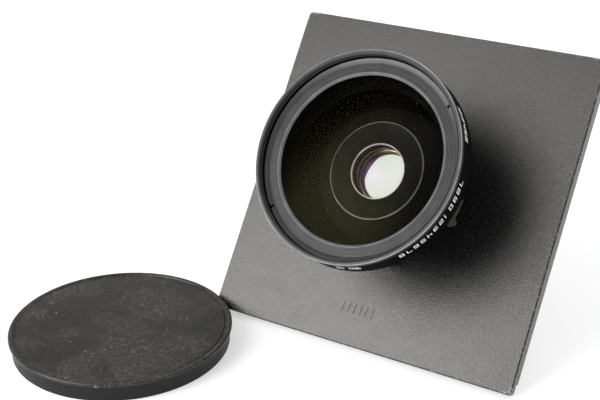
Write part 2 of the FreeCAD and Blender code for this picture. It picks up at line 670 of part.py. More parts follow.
def speed_ring():
    low = S.speed_low
    top = low + S.speed_thick
    blank = turned("speed_blank", [
        (S.ring_bore_r, low), (S.speed_r, low), (S.speed_r, top - S.speed_bevel),
        (S.speed_r - S.speed_bevel, top), (S.ring_bore_r, top)])
    knurls = [bar("speed_knurl_%d" % (k + 1), 360.0 * k / KNURLS, S.knurl_root_r, S.speed_r + PAST,
                  S.knurl_wide, low - PAST, S.speed_thick + 2 * PAST) for k in range(KNURLS)]
    keep("speed_ring", cut("speed_knurled", blank, fused("speed_knurls", knurls)))


def cover_ring():
    low = S.speed_low + S.speed_thick + S.cover_gap
    top = low + S.cover_thick
    keep("cover_ring", turned("cover_blank", [
        (S.tube_r, low), (S.cover_r, low), (S.cover_r - S.cover_bevel, top), (S.tube_r, top)]))


def aperture_scale():
    outer = rod("scale_outer", S.scale_r, S.scale_low, S.scale_thick, angle=SCALE_SPAN, turn=SCALE_START)
    inner = rod("scale_inner", S.case_r, S.scale_low - PAST, S.scale_thick + 2 * PAST)
    keep("aperture_scale", cut("scale_arc", outer, inner))


def socket_shell(name, direction, far):
    """Round socket standing out of the case wall on a narrower root."""
    root = spoke(name + "_root", direction, S.cavity_r, S.case_r, S.socket_root_r, V.socket_at)
    sleeve = spoke(name + "_sleeve", direction, S.case_r, far, S.socket_r, V.socket_at)
    return fused(name + "_blank", [root, sleeve])


def cable_socket():
    bore = spoke("cable_bore", CABLE_ANGLE, S.cable_bottom, S.cable_reach + PAST, S.cable_bore_r,
                 V.socket_at)
    keep("cable_socket", cut("cable_piece", socket_shell("cable", CABLE_ANGLE, S.cable_reach), bore))


def sync_socket():
    well = spoke("sync_well", SYNC_ANGLE, S.sync_bottom, S.sync_reach + PAST, S.sync_well_r,
                 V.socket_at)
    keep("sync_socket", cut("sync_piece", socket_shell("sync", SYNC_ANGLE, S.sync_reach), well))
    core = spoke("sync_core", SYNC_ANGLE, S.sync_bottom, S.sync_core_end, S.sync_core_r, V.socket_at)
    tip = spoke("sync_tip", SYNC_ANGLE, S.sync_core_end, S.sync_tip_end, S.sync_tip_r, V.socket_at)
    keep("sync_contact", fused("sync_centre", [core, tip]))


# ---------------------------------------------------------------- cemented doublets
def between(label, radius, first, last):
    """Upright cylinder between two heights given in either order."""
    low, high = (first, last) if first.value < last.value else (last, first)
    return rod(label, radius, low, high - low)


def doublet(side, flip, rim):
    """Cemented pair: a biconvex outer lens, and a thin inner lens whose flat rim sits on a shoulder."""
    crown_at = {"front": S.front_crown_at, "rear": S.rear_crown_at}[side]
    joint_at = {"front": S.front_joint_at, "rear": S.rear_joint_at}[side]
    flint_at = {"front": S.front_flint_at, "rear": S.rear_flint_at}[side]
    joint_centre = joint_at + S.joint_curve * flip
    crown = between(side + "_crown_blank", S.doublet_r, rim, crown_at + flip * PAST)
    dome = ball(side + "_crown_dome", S.crown_curve, crown_at - S.crown_curve * flip)
    joint = ball(side + "_joint", S.joint_curve, joint_centre)
    keep(side + "_crown", common(side + "_crown_lens", [crown, dome, joint]))
    flint = between(side + "_flint_blank", S.doublet_r, rim, crown_at)
    hollow = ball(side + "_flint_hollow", S.flint_curve, flint_at - S.flint_curve * flip)
    joint_again = ball(side + "_joint_again", S.joint_curve, joint_centre)
    tools = fused(side + "_flint_tools", [hollow, joint_again])
    keep(side + "_flint", cut(side + "_flint_lens", flint, tools))


def doublets():
    doublet("front", 1.0, S.neck_end + S.shoulder_thick)
    doublet("rear", -1.0, S.rear_neck_top - S.shoulder_thick)


# ---------------------------------------------------------------- front cell
def front_barrel():
    shoulder = S.neck_end + S.shoulder_thick
    dish_wall_r = S.dish_out_r + S.running_clear
    outside = [
        (S.shoulder_r, S.neck_end), (S.neck_r, S.neck_end), (S.neck_r, S.collar_low),
        (S.collar_r, S.collar_low), (S.cone_low_r, S.cone_low), (S.cone_top_r, S.cone_top),
        (S.band_r - S.band_bevel, S.band_low - S.band_bevel), (S.band_r, S.band_low),
        (S.band_r, S.band_top)]
    inside = [
        (S.rim_bore_r, S.band_top), (S.rim_bore_r, S.thread_low), (S.mouth_r, S.thread_low),
        (S.mouth_r, S.mouth_floor), (S.glass_bore_r, S.mouth_floor), (S.glass_bore_r, S.glass_seat),
        (S.seat_in_r, S.glass_seat), (S.funnel_r, S.funnel_low), (dish_wall_r, S.dish_mouth),
        (dish_wall_r, S.dish_seat), (S.dish_seat_r, S.dish_low), (S.doublet_bore_r, S.dish_low),
        (S.doublet_bore_r, shoulder), (S.shoulder_r, shoulder)]
    keep("front_barrel", turned("front_shell", outside + inside))


def filter_ring():
    low = S.band_top
    top = S.rim_top
    keep("filter_ring", turned("filter_rim", [
        (S.rim_bore_r, low), (S.band_r, low), (S.band_r, top - S.rim_bevel),
        (S.band_r - S.rim_bevel, top), (S.rim_bore_r + S.rim_lip, top),
        (S.rim_bore_r, top - S.rim_lip_deep)]))


def front_retaining_ring():
    low = S.mouth_floor
    blank = turned("front_nut", [(S.nut_in_r, low), (S.nut_out_r, low), (S.nut_out_r, S.nut_top),
                                 (S.nut_in_r, S.nut_in_top)])
    notches = [bar("nut_notch_%d" % number, angle, S.notch_in, S.notch_out, S.notch_wide,
                   S.notch_low, S.nut_top - S.notch_low + PAST)
               for number, angle in enumerate(NOTCH_ANGLES, 1)]
    keep("front_retaining_ring", cut("front_nut_notched", blank, fused("nut_notches", notches)))


def baffle_ring():
    """Light-baffle ring round the front glass: fine concentric grooves, then a polished lip."""
    out = S.nut_in_r - S.running_clear
    outline = [(S.glass_bore_r, S.mouth_floor), (out, S.mouth_floor), (out, S.baffle_edge)]
    for groove in range(GROOVES, 0, -1):
        radius = S.glass_bore_r + S.groove_pitch * groove
        height = S.groove_first + S.groove_rise * (GROOVES - groove)
        outline.append((radius, height))
        outline.append((radius - S.groove_pitch * 0.5, height - S.groove_deep))
    outline += [(S.lip_top_r, S.lip_top), (S.lip_in_r, S.lip_in), (S.glass_bore_r, S.lip_under)]
    keep("baffle_ring", turned("baffle_lip", outline))


def front_glass():
    blank = rod("front_blank", S.glass_r, S.glass_seat, S.glass_blank)
    dome = ball("front_dome", S.glass_curve, S.glass_front - S.glass_curve)
    hollow = ball("front_hollow", S.glass_hollow, S.glass_inner - S.glass_hollow)
    keep("front_meniscus", cut("front_lens", common("front_lens_blank", [blank, dome]), hollow))


def front_doublet_retainer():
    """Dished ring between the front glass and the doublet, with a rounded lip over the doublet."""
    keep("front_doublet_retainer", turned("front_stop_ring", [
        (S.dish_in_r, S.dish_low), (S.dish_floor_r, S.dish_low), (S.dish_out_r, S.dish_wall),
        (S.dish_out_r, S.dish_top), (S.dish_out_r - S.dish_land, S.dish_top),
        (S.dish_cone_r, S.dish_cone), (S.dish_in_r + S.dish_lip, S.dish_round),
        (S.dish_in_r, S.dish_lip_top)]))


# ---------------------------------------------------------------- rear cell
def rear_barrel():
    end = term(-REAR_END)
    shoulder = S.rear_neck_top - S.shoulder_thick
    outside = [
        (S.shoulder_r, S.rear_neck_top), (S.neck_r, S.rear_neck_top), (S.neck_r, -S.rear_collar),
        (S.rear_collar_r, -S.rear_collar), (S.rear_cone_r, -S.rear_cone),
        (S.rear_cone_end_r, -S.rear_cone_end), (S.rear_rim_r, -S.rear_rim),
        (S.rear_rim_r, -REAR_TOUCH), (S.rear_rim_r - S.rear_edge, end)]
    inside = [
        (S.rear_bore_r, end), (S.rear_bore_r, -S.rear_step), (S.rear_glass_bore_r, -S.rear_step),
        (S.rear_glass_bore_r, -S.rear_seat), (S.rear_seat_in_r, -S.rear_seat),
        (S.rear_funnel_r, -S.rear_funnel), (S.doublet_bore_r, -S.rear_throat),
        (S.doublet_bore_r, shoulder), (S.shoulder_r, shoulder)]
    keep("rear_barrel", turned("rear_shell", outside + inside))


def rear_retaining_ring():
    blank = turned("rear_nut", [
        (S.rear_nut_in_r, -S.rear_nut_front), (S.rear_glass_r, -S.rear_nut_front),
        (S.rear_glass_r, -S.rear_step), (S.rear_nut_r, -S.rear_step), (S.rear_nut_r, -S.rear_nut_back),
        (S.rear_nut_lip_r, -S.rear_nut_lip)])
    low = -S.rear_nut_back - PAST
    notches = [bar("rear_notch_%d" % number, angle, S.rear_notch_in, S.rear_notch_out,
                   S.rear_notch_wide, low, S.rear_notch_deep + PAST)
               for number, angle in enumerate(REAR_NOTCH_ANGLES, 1)]
    keep("rear_retaining_ring", cut("rear_nut_notched", blank, fused("rear_notches", notches)))


def rear_glass():
    blank = rod("rear_blank", S.rear_glass_r, -S.rear_blank_end, S.rear_blank_end - S.rear_seat)
    dome = ball("rear_dome", S.rear_curve, S.rear_curve - S.rear_glass_back)
    hollow = ball("rear_hollow", S.rear_hollow, S.rear_hollow - S.rear_inner)
    keep("rear_meniscus", cut("rear_lens", common("rear_lens_blank", [blank, dome]), hollow))


def rear_doublet_retainer():
    keep("rear_doublet_retainer", turned("rear_stop_ring", [
        (S.shoulder_r, -S.rear_ring_in), (S.doublet_r, -S.rear_ring_top),
        (S.doublet_r, -S.rear_ring_end), (S.doublet_r - S.rear_ring_bevel, -S.rear_ring_end),
        (S.shoulder_r, -S.rear_ring_lip)]))


# ---------------------------------------------------------------- cap
def front_cap():
    top = S.cap_tall
    floor = top - S.cap_groove_deep
    face = top - S.cap_face_deep
    lip = S.cap_lip_r
    cap = turned("cap_shell", [
        (0, S.cap_ceiling), (S.cap_bore_r, S.cap_ceiling), (S.cap_bore_r, 0),
        (S.cap_skirt_r - S.cap_edge, 0), (S.cap_skirt_r, S.cap_edge), (S.cap_skirt_r, S.cap_step),
        (lip, S.cap_step_top), (lip, top - S.cap_round), (lip - S.cap_round, top),
        (lip - S.cap_land, top), (lip - S.cap_groove, floor), (lip - S.cap_groove_end, floor),
        (lip - S.cap_face, face), (0, face)])
    keep("front_cap", cap, FreeCAD.Placement(Vec(V.cap_x, V.cap_y, 0) + SHIFT, FreeCAD.Rotation()))


PIECES = (
    board_plate, light_trap_frame, flange_ring, index_screw, shutter_case, housing_posts, front_plate,
    front_plate_screws, iris_leaves, iris_cam_ring, aperture_lever, shutter_leaves, mechanism_plate,
    press_focus_lever, cocking_lever, cocking_spring, release_lever, release_pivot, speed_ring,
    cover_ring, aperture_scale, cable_socket, sync_socket, doublets, front_barrel, filter_ring,
    front_retaining_ring, baffle_ring, front_glass, front_doublet_retainer, rear_barrel,
    rear_retaining_ring, rear_glass, rear_doublet_retainer, front_cap)


def build():
    for make in PIECES:
        make()
    doc.recompute()


def check_and_export():
    for thing in doc.Objects:
        if "Invalid" in thing.State or "Error" in thing.State:
            raise RuntimeError("not built: " + thing.Name)
    for node, thing in NODES.items():
        shape = thing.Shape
        if shape.isNull() or not shape.isValid() or not shape.Solids:
            raise RuntimeError("bad shape: " + node)
        shape.exportStep("parts/%s.step" % node)
        print("%-24s solids %d  volume %.2f" % (node, len(shape.Solids), shape.Volume))


build()
check_and_export()
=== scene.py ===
import json
import math

import bmesh
import bpy
from mathutils import Euler, Matrix, Vector


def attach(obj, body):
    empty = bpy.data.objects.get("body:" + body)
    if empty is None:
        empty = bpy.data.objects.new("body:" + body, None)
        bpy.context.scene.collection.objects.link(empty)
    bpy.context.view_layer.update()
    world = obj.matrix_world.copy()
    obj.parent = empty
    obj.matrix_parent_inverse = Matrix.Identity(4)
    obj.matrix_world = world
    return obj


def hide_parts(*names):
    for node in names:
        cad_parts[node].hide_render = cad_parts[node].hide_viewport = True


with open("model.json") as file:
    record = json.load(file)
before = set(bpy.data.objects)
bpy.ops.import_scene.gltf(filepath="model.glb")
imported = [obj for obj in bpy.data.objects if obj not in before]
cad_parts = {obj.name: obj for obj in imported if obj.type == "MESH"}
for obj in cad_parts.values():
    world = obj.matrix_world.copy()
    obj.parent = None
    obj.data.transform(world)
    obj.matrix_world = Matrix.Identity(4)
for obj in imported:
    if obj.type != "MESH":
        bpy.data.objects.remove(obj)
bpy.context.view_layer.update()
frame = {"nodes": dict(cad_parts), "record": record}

# A large-format lens in its shutter and board, leaning on its rear rim, with its cap on the floor.
# Outlines are lists of (radius, height) in millimetres in the lens frame: Z along the optical axis
# (front positive), Z = 0 at the front face of the board, Y up the board and X across it.

MM = 0.001
BASE = "board_and_lens"
BAND_MIDDLE = 44.935     # height of the front barrel's mount along the optical axis
FINEST = 720             # steps round a ring with spanner slots in it
FINE = 288               # steps round a large ring
COARSE = 144             # steps round a small one
DOME_STEPS = 20          # steps from the edge of a glass face to its middle
CORNER_STEPS = 3         # steps round a softened corner
SOFTENED_FROM = 12.0     # degrees that a corner of an outline turns by before it is softened
SHARP_FROM = 32.0        # degrees between two faces from which their edge stays sharp
AXIS_R = 1e-6            # a smaller radius is a point on the axis

BOARD_HALF = 70.0        # half the board's side
BOARD_MIDDLE = -2.0      # height of the middle of the board's thickness
BAND_R = 43.4            # outer radius of the front barrel's flat band
BARREL_FRONT = 48.2      # height at which the threaded rim starts
FRONT_GLASS_R = 35.45
REAR_GLASS_R = 28.55
DOUBLET_R = 13.8
CASE_R = 28.5            # wall of the shutter that carries its digits
SCALE_R = 29.4           # foot of the strokes on the aperture scale
SCALE_TOP = 8.4          # and the height of its face

MOUNTS = {mount["name"]: mount for mount in frame["record"]["mounts"]}


def lens_frame():
    """Matrix from the lens frame to the row frame, read from the front barrel's mount."""
    band = MOUNTS["front_barrel_band"]
    front = Vector(band["axis"]).normalized()
    across = Vector((1, 0, 0))
    up = front.cross(across)
    turn = Matrix((across, up, front)).transposed().to_4x4()
    return Matrix.Translation(Vector(band["pos_m"]) - front * BAND_MIDDLE * MM) @ turn


def cap_frame():
    """Matrix from the cap's own frame, which stands on the floor, to the row frame."""
    x, y = MOUNTS["cap_bore"]["pos_m"][:2]
    return Matrix.Translation((x, y, 0))


LENS = lens_frame()
CAP = cap_frame()


# ---------------------------------------------------------------- outlines
def polar(radius, degrees):
    """X and Y of a point at a radius and an angle."""
    angle = math.radians(degrees)
    return radius * math.cos(angle), radius * math.sin(angle)


def softened(outline, radius):
    """The outline with each clear corner rounded off."""
    result = []
    for index, corner in enumerate(outline):
        here = Vector(corner)
        back = Vector(outline[index - 1]) - here
        ahead = Vector(outline[(index + 1) % len(outline)]) - here
        turn = 180 - math.degrees(back.angle(ahead, 0.0))
        if turn < SOFTENED_FROM or here.x < AXIS_R:
            result.append(tuple(here))
            continue
        reach = min(radius * math.tan(math.radians(turn / 2)), 0.4 * back.length, 0.4 * ahead.length)
        start = here + back.normalized() * reach
        end = here + ahead.normalized() * reach
        for step in range(CORNER_STEPS + 1):
            t = step / CORNER_STEPS
            result.append(tuple(start * (1 - t) ** 2 + here * (2 * t * (1 - t)) + end * t ** 2))
    return result


def dome(vertex, curve, edge_r):
    """Points of a spherical face from its edge to the axis; curve < 0 bulges towards +Z."""
    points = []
    for step in range(DOME_STEPS + 1):
        radius = edge_r * (1 - step / DOME_STEPS)
        sag = abs(curve) - math.sqrt(curve * curve - radius * radius)
        points.append((radius, vertex + math.copysign(sag, curve)))
    return points


def threaded(radius, low, high, pitch, depth):
    """Fine V thread, cut outwards into a wall between two heights."""
    turns = int((high - low) / pitch)
    points = []
    for turn in range(turns):
        points.append((radius, low + pitch * turn + 0.1 * pitch))
        points.append((radius + depth, low + pitch * (turn + 0.5)))
    points.append((radius, low + pitch * turns))
    return points


# ---------------------------------------------------------------- meshes
def revolve(outline, steps, closed, dips=()):
    """An outline turned about Z: its vertices, its faces and the strip of the outline each face is on."""
    points, rings, faces, origin = [], [], [], []
    for radius, height in outline:
        if radius < AXIS_R:
            rings.append([len(points)])
            points.append((0.0, 0.0, height * MM))
            continue
        ring = []
        for step in range(steps):
            angle = 360.0 * step / steps
            ring.append(len(points))
            x, y = polar(radius, angle)
            points.append((x * MM, y * MM, dipped(radius, height, angle, dips) * MM))
        rings.append(ring)
    for index in range(len(rings) if closed else len(rings) - 1):
        first, second = rings[index], rings[(index + 1) % len(rings)]
        if len(first) == 1 and len(second) == 1:
            continue
        for step in range(steps):
            after = (step + 1) % steps
            corners = [first[step % len(first)], second[step % len(second)],
                       second[after % len(second)], first[after % len(first)]]
            faces.append(tuple(dict.fromkeys(corners)))
            origin.append(index)
    return points, faces, origin


def dipped(radius, height, angle, dips):
    """The height of a point, lowered inside a dip: (angle, half its width, inner radius, floor)."""
    for middle, half, inner, low in dips:
        apart = abs((angle - middle + 180) % 360 - 180)
        if apart < half and radius >= inner and height > low:
            return low
    return height


def tidy_mesh(mesh):
    """Join doubled points, turn every face outwards and smooth all but the sharp edges."""
    work = bmesh.new()
    work.from_mesh(mesh)
    bmesh.ops.remove_doubles(work, verts=work.verts, dist=1e-7)
    bmesh.ops.recalc_face_normals(work, faces=work.faces)
    work.to_mesh(mesh)
    work.free()
    mesh.shade_smooth()
    mesh.set_sharp_from_angle(angle=math.radians(SHARP_FROM))


def place_piece(name, mesh, body, place, stands_for=()):
    """Put a finished mesh into the row frame, with the object itself at the origin."""
    mesh.transform(place)
    piece = bpy.data.objects.new(name, mesh)
    bpy.context.scene.collection.objects.link(piece)
    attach(piece, body)
    if stands_for:
        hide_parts(*stands_for)
    return piece


def lathe(name, outline, looks, stands_for=(), steps=FINE, soft=0.15, body=BASE, place=LENS,
          dips=(), painted=None):
    """A turned piece; painted(radius, height) gives the number of the look on each strip of the outline."""
    closed = outline[0][0] > AXIS_R or outline[-1][0] > AXIS_R
    shape = softened(outline, soft) if soft else outline
    points, faces, origin = revolve(shape, steps, closed, dips)
    mesh = bpy.data.meshes.new(name)
    mesh.from_pydata(points, [], faces)
    for look in looks:
        mesh.materials.append(look)
    if painted:
        for face, index in zip(mesh.polygons, origin):
            first, second = shape[index], shape[(index + 1) % len(shape)]
            middle = ((first[0] + second[0]) / 2, (first[1] + second[1]) / 2)
            face.material_index = painted(*middle)
    tidy_mesh(mesh)
    return place_piece(name, mesh, body, place, stands_for)


# ---------------------------------------------------------------- shader building
def feed(tree, socket, value):
    """Link another node's output to a socket, or set the socket's own value."""
    if isinstance(value, bpy.types.NodeSocket):
        tree.links.new(value, socket)
    else:
        socket.default_value = value


def add_node(tree, kind, inputs, settings):
    """A new shader node with its settings made and its inputs fed."""
    made = tree.nodes.new("ShaderNode" + kind)
    for name, value in settings.items():
        setattr(made, name, value)
    for key, value in inputs.items():
        feed(tree, made.inputs[key], value)
    return made


class Look:
    """A material under construction, with the node helpers that the looks below are written with."""

    def __init__(self, name, color, roughness, **sockets):
        self.material = bpy.data.materials.new(name)
        self.material.use_nodes = True
        self.tree = self.material.node_tree
        self.bsdf = self.tree.nodes["Principled BSDF"]
        self.set("Base Color", (*color, 1.0))
        self.set("Roughness", roughness)
        for socket, value in sockets.items():
            self.set(socket.replace("_", " "), value)

    def set(self, socket, value):
        feed(self.tree, self.bsdf.inputs[socket], value)

    def add(self, kind, inputs=None, **settings):
        return add_node(self.tree, kind, inputs or {}, settings)

    def place(self, home=LENS):
        """Coordinates in millimetres in the lens frame, or in another frame given as a matrix."""
        row = self.add("TexCoord").outputs["Object"]
        back = self.add("Mapping", {"Vector": row, "Location": home.translation,
                                    "Rotation": home.to_euler()}, vector_type="TEXTURE").outputs[0]
        return self.add("VectorMath", {0: back, "Scale": 1 / MM}, operation="SCALE").outputs[0]

    def noise(self, vector, scale, detail=3.0, rough=0.55):
        return self.add("TexNoise", {"Vector": vector, "Scale": scale, "Detail": detail,
                                     "Roughness": rough}).outputs["Fac"]

    def math(self, operation, first, second=0.0):
        return self.add("Math", {0: first, 1: second}, operation=operation).outputs[0]

    def times(self, first, second):
        return self.math("MULTIPLY", first, second)

    def fit(self, value, low, high):
        """Smooth step of a value between low and high."""
        return self.add("MapRange", {"Value": value, "From Min": low, "From Max": high},
                        interpolation_type="SMOOTHSTEP").outputs[0]

    def blend(self, factor, first, second):
        """Mix of two colours, each a socket or three numbers."""
        mixed = self.add("Mix", {0: factor}, data_type="RGBA")
        for socket, value in ((mixed.inputs[6], first), (mixed.inputs[7], second)):
            feed(self.tree, socket, value if isinstance(value, bpy.types.NodeSocket) else (*value, 1.0))
        return mixed.outputs[2]

    def split(self, vector):
        return self.add("SeparateXYZ", {0: vector}).outputs

    def rings(self, vector):
        """Coordinates (radius, height, 0) for marks that run round the axis, as turning leaves them."""
        x, y, z = self.split(vector)
        flat = self.add("CombineXYZ", {0: x, 1: y}).outputs[0]
        radius = self.add("VectorMath", {0: flat}, operation="LENGTH").outputs["Value"]
        return self.add("CombineXYZ", {0: radius, 1: z}).outputs[0]

    def bump(self, height, strength, depth_mm, after=None):
        inputs = {"Height": height, "Strength": strength, "Distance": depth_mm * MM}
        if after is not None:
            inputs["Normal"] = after
        return self.add("Bump", inputs).outputs[0]

    def edges(self, wide_mm):
        """1 along edges, within about the given width, where a rounded normal leaves the true one."""
        rounded = self.add("Bevel", {"Radius": wide_mm * MM}, samples=6).outputs[0]
        true = self.add("NewGeometry").outputs["Normal"]
        same = self.add("VectorMath", {0: rounded, 1: true}, operation="DOT_PRODUCT").outputs["Value"]
        return self.fit(same, 0.995, 0.93)

    def worn(self, wide_mm, scale=0.8, low=0.45, high=0.62):
        """Edge wear, broken up by noise."""
        broken = self.fit(self.noise(self.place(), scale, 5.0, 0.7), low, high)
        return self.times(self.edges(wide_mm), broken)

    def spread(self, value, low, high):
        """A 0 to 1 value spread linearly between two values, for roughness."""
        return self.add("MapRange", {"Value": value, "From Min": 0.25, "From Max": 0.75, "To Min": low,
                                     "To Max": high}).outputs[0]


# ---------------------------------------------------------------- looks
def board_paint_look():
    """Semi-gloss black paint with an orange-peel skin, rubbed bright along the edges and corners."""
    look = Look("board_paint", (0.012, 0.012, 0.012), 0.3, Specular_IOR_Level=0.55,
                Specular_Tint=(1.0, 0.985, 0.955, 1.0))
    place = look.place()
    cloud = look.noise(place, 0.03, 4.0)
    base = look.blend(look.fit(cloud, 0.3, 0.7), (0.003, 0.0029, 0.0028), (0.005, 0.0048, 0.0045))
    grain = look.fit(look.noise(place, 1.3, 3.0, 0.7), 0.45, 0.66)
    base = look.blend(grain, base, (0.023, 0.0222, 0.0208))
    x, y, z = look.split(place)
    side_x = look.math("SUBTRACT", BOARD_HALF, look.math("ABSOLUTE", x))
    side_y = look.math("SUBTRACT", BOARD_HALF, look.math("ABSOLUTE", y))
    nearest = look.math("MINIMUM", side_x, side_y)
    corner = look.math("ADD", side_x, side_y)
    chips = look.noise(place, 0.9, 5.0, 0.7)
    near_edge = look.fit(nearest, 0.75, 0.1)
    near_corner = look.times(look.fit(corner, 9.0, 1.0), look.fit(nearest, 1.4, 0.2))
    edge_wear = look.times(near_edge, look.fit(chips, 0.53, 0.66))
    corner_wear = look.times(near_corner, look.fit(chips, 0.45, 0.55))
    from_middle = look.math("ABSOLUTE", look.math("SUBTRACT", z, BOARD_MIDDLE))
    near_arris = look.fit(from_middle, 1.3, 1.8)
    wear = look.times(look.math("MAXIMUM", edge_wear, corner_wear), near_arris)
    specks = look.fit(look.noise(place, 0.55, 6.0, 0.8), 0.73, 0.755)
    color = look.blend(wear, base, (0.32, 0.31, 0.30))
    color = look.blend(look.times(specks, 0.5), color, (0.14, 0.135, 0.125))
    look.set("Base Color", color)
    look.set("Roughness", look.spread(look.noise(place, 0.12, 5.0), 0.2, 0.27))
    peel = look.bump(look.noise(place, 1.0, 2.0, 0.5), 1.0, 0.06)
    look.set("Normal", look.bump(look.noise(place, 1.9, 2.0, 0.55), 1.0, 0.14, peel))
    return look.material


def anodised_look(name, color, roughness, wear, shine):
    """Turned, anodised aluminium: fine rings from the tool, and edges rubbed lighter."""
    look = Look(name, color, roughness, Specular_IOR_Level=shine)
    place = look.place()
    lines = look.noise(look.rings(place), 14.0, 2.0, 0.6)
    light = tuple(min(1.0, part * 1.6 + 0.003) for part in color)
    base = look.blend(look.fit(look.noise(place, 0.15, 4.0), 0.3, 0.75), color, light)
    dust = look.fit(look.noise(place, 1.6, 6.0, 0.75), 0.69, 0.75)
    base = look.blend(look.times(dust, 0.3), base, (0.09, 0.088, 0.085))
    if wear:
        base = look.blend(look.times(look.worn(0.35), wear), base, (0.22, 0.22, 0.225))
    look.set("Base Color", base)
    look.set("Roughness", look.spread(lines, roughness - 0.05, roughness + 0.07))
    look.set("Normal", look.bump(lines, 0.25, 0.01))
    return look.material


def matt_black_look():
    """Flat black inside the barrels, a little cloudy."""
    look = Look("matt_black", (0.003, 0.003, 0.003), 0.6, Specular_IOR_Level=0.03)
    place = look.place()
    turned = look.rings(place)
    cloud = look.fit(look.noise(place, 0.5, 2.0, 0.6), 0.4, 0.7)
    look.set("Base Color", look.blend(cloud, (0.0011, 0.0011, 0.0012), (0.0018, 0.0018, 0.0018)))
    look.set("Roughness", look.spread(look.noise(turned, 6.0), 0.5, 0.7))
    look.set("Normal", look.bump(look.noise(turned, 8.0, 2.0), 0.3, 0.02))
    return look.material


def metal_look(name, color, roughness, coat_and_sheen=None):
    """Metal with fine scratches and fingerprints; the coat is a dark finish, worn through on the edges, its
    colour lightened as painted light for the reflections its faces catch.
    """
    look = Look(name, color, roughness, Metallic=1.0)
    place = look.place()
    scratch_place = look.add("Mapping", {"Vector": place, "Scale": (0.25, 3.0, 3.0)}).outputs[0]
    scratches = look.noise(scratch_place, 4.0, 4.0, 0.7)
    grime = look.fit(look.noise(place, 0.5, 5.0, 0.65), 0.35, 0.7)
    dark = tuple(part * 0.55 for part in color)
    shade = look.blend(grime, color, dark)
    if coat_and_sheen:
        worn = look.worn(0.3, 1.2, 0.3, 0.5)
        faded = tuple(part * 0.7 for part in coat_and_sheen)
        shade = look.blend(worn, look.blend(grime, coat_and_sheen, faded), color)
        look.set("Metallic", worn)
    look.set("Base Color", shade)
    look.set("Roughness", look.spread(scratches, max(0.05, roughness - 0.08), roughness + 0.08))
    look.set("Normal", look.bump(scratches, 0.2, 0.01))
    return look.material


def glass_look(name, strength, sheen, index, body, edge_sheen=None):
    """Coated optical glass: it bends what lies behind it, and its coating gives a weak tinted gloss.

    edge_sheen is the gloss's colour where the face is seen at a low angle, if it changes there.
    """
    look = Look(name, body, 0.0)
    look.tree.nodes.remove(look.bsdf)
    place = look.place()
    specks = look.fit(look.noise(place, 1.1, 0.0, 0.4), 0.90, 0.92)
    clear = look.add("BsdfRefraction", {"Color": look.blend(specks, body, (0.35, 0.35, 0.36)),
                                        "Roughness": look.times(specks, 0.3), "IOR": index})
    fresnel = look.add("Fresnel", {"IOR": index}).outputs[0]
    tint = (*sheen, 1.0)
    if edge_sheen:
        tint = look.blend(look.fit(fresnel, 0.05, 0.12), sheen, edge_sheen)
    gloss = look.add("BsdfGlossy", {"Color": tint, "Roughness": 0.25})
    outside = look.math("SUBTRACT", 1.0, look.add("NewGeometry").outputs["Backfacing"])
    share = look.times(fresnel, look.times(outside, strength))
    both = look.add("MixShader", {0: share, 1: clear.outputs[0], 2: gloss.outputs[0]})
    look.tree.links.new(both.outputs[0], look.tree.nodes["Material Output"].inputs["Surface"])
    return look.material


def mark_look(name, color):
    """Filled markings, a little rubbed."""
    look = Look(name, color, 0.5)
    place = look.place()
    rubbed = look.fit(look.noise(place, 2.5, 4.0, 0.7), 0.58, 0.75)
    look.set("Base Color", look.blend(rubbed, color, tuple(part * 0.5 for part in color)))
    look.set("Roughness", look.spread(look.noise(place, 3.0), 0.4, 0.65))
    look.set("Normal", look.bump(look.noise(place, 5.0), 0.2, 0.01))
    return look.material


def scratch_lines(look, place, turn, stretch, limit):
    """Long fine scratches, slightly bent, that run one way and come in patches."""
    spun = look.add("Mapping", {"Vector": place, "Rotation": (0, 0, math.radians(turn)),
                                "Location": (turn, 3 * turn, 0)}).outputs[0]
    warp = look.add("TexNoise", {"Vector": spun, "Scale": 0.06}).outputs["Color"]
    bent = look.add("VectorMath", {0: warp, "Scale": 14.0}, operation="SCALE").outputs[0]
    spun = look.add("VectorMath", {0: spun, 1: bent}).outputs[0]
    long = look.add("Mapping", {"Vector": spun, "Scale": (stretch, 1.6, 1.0)}).outputs[0]
    lines = look.fit(look.noise(long, 1.0, 3.0, 0.6), limit, limit + 0.03)
    patch = look.fit(look.noise(spun, 0.055, 3.0), 0.45, 0.6)
    return look.times(lines, patch)


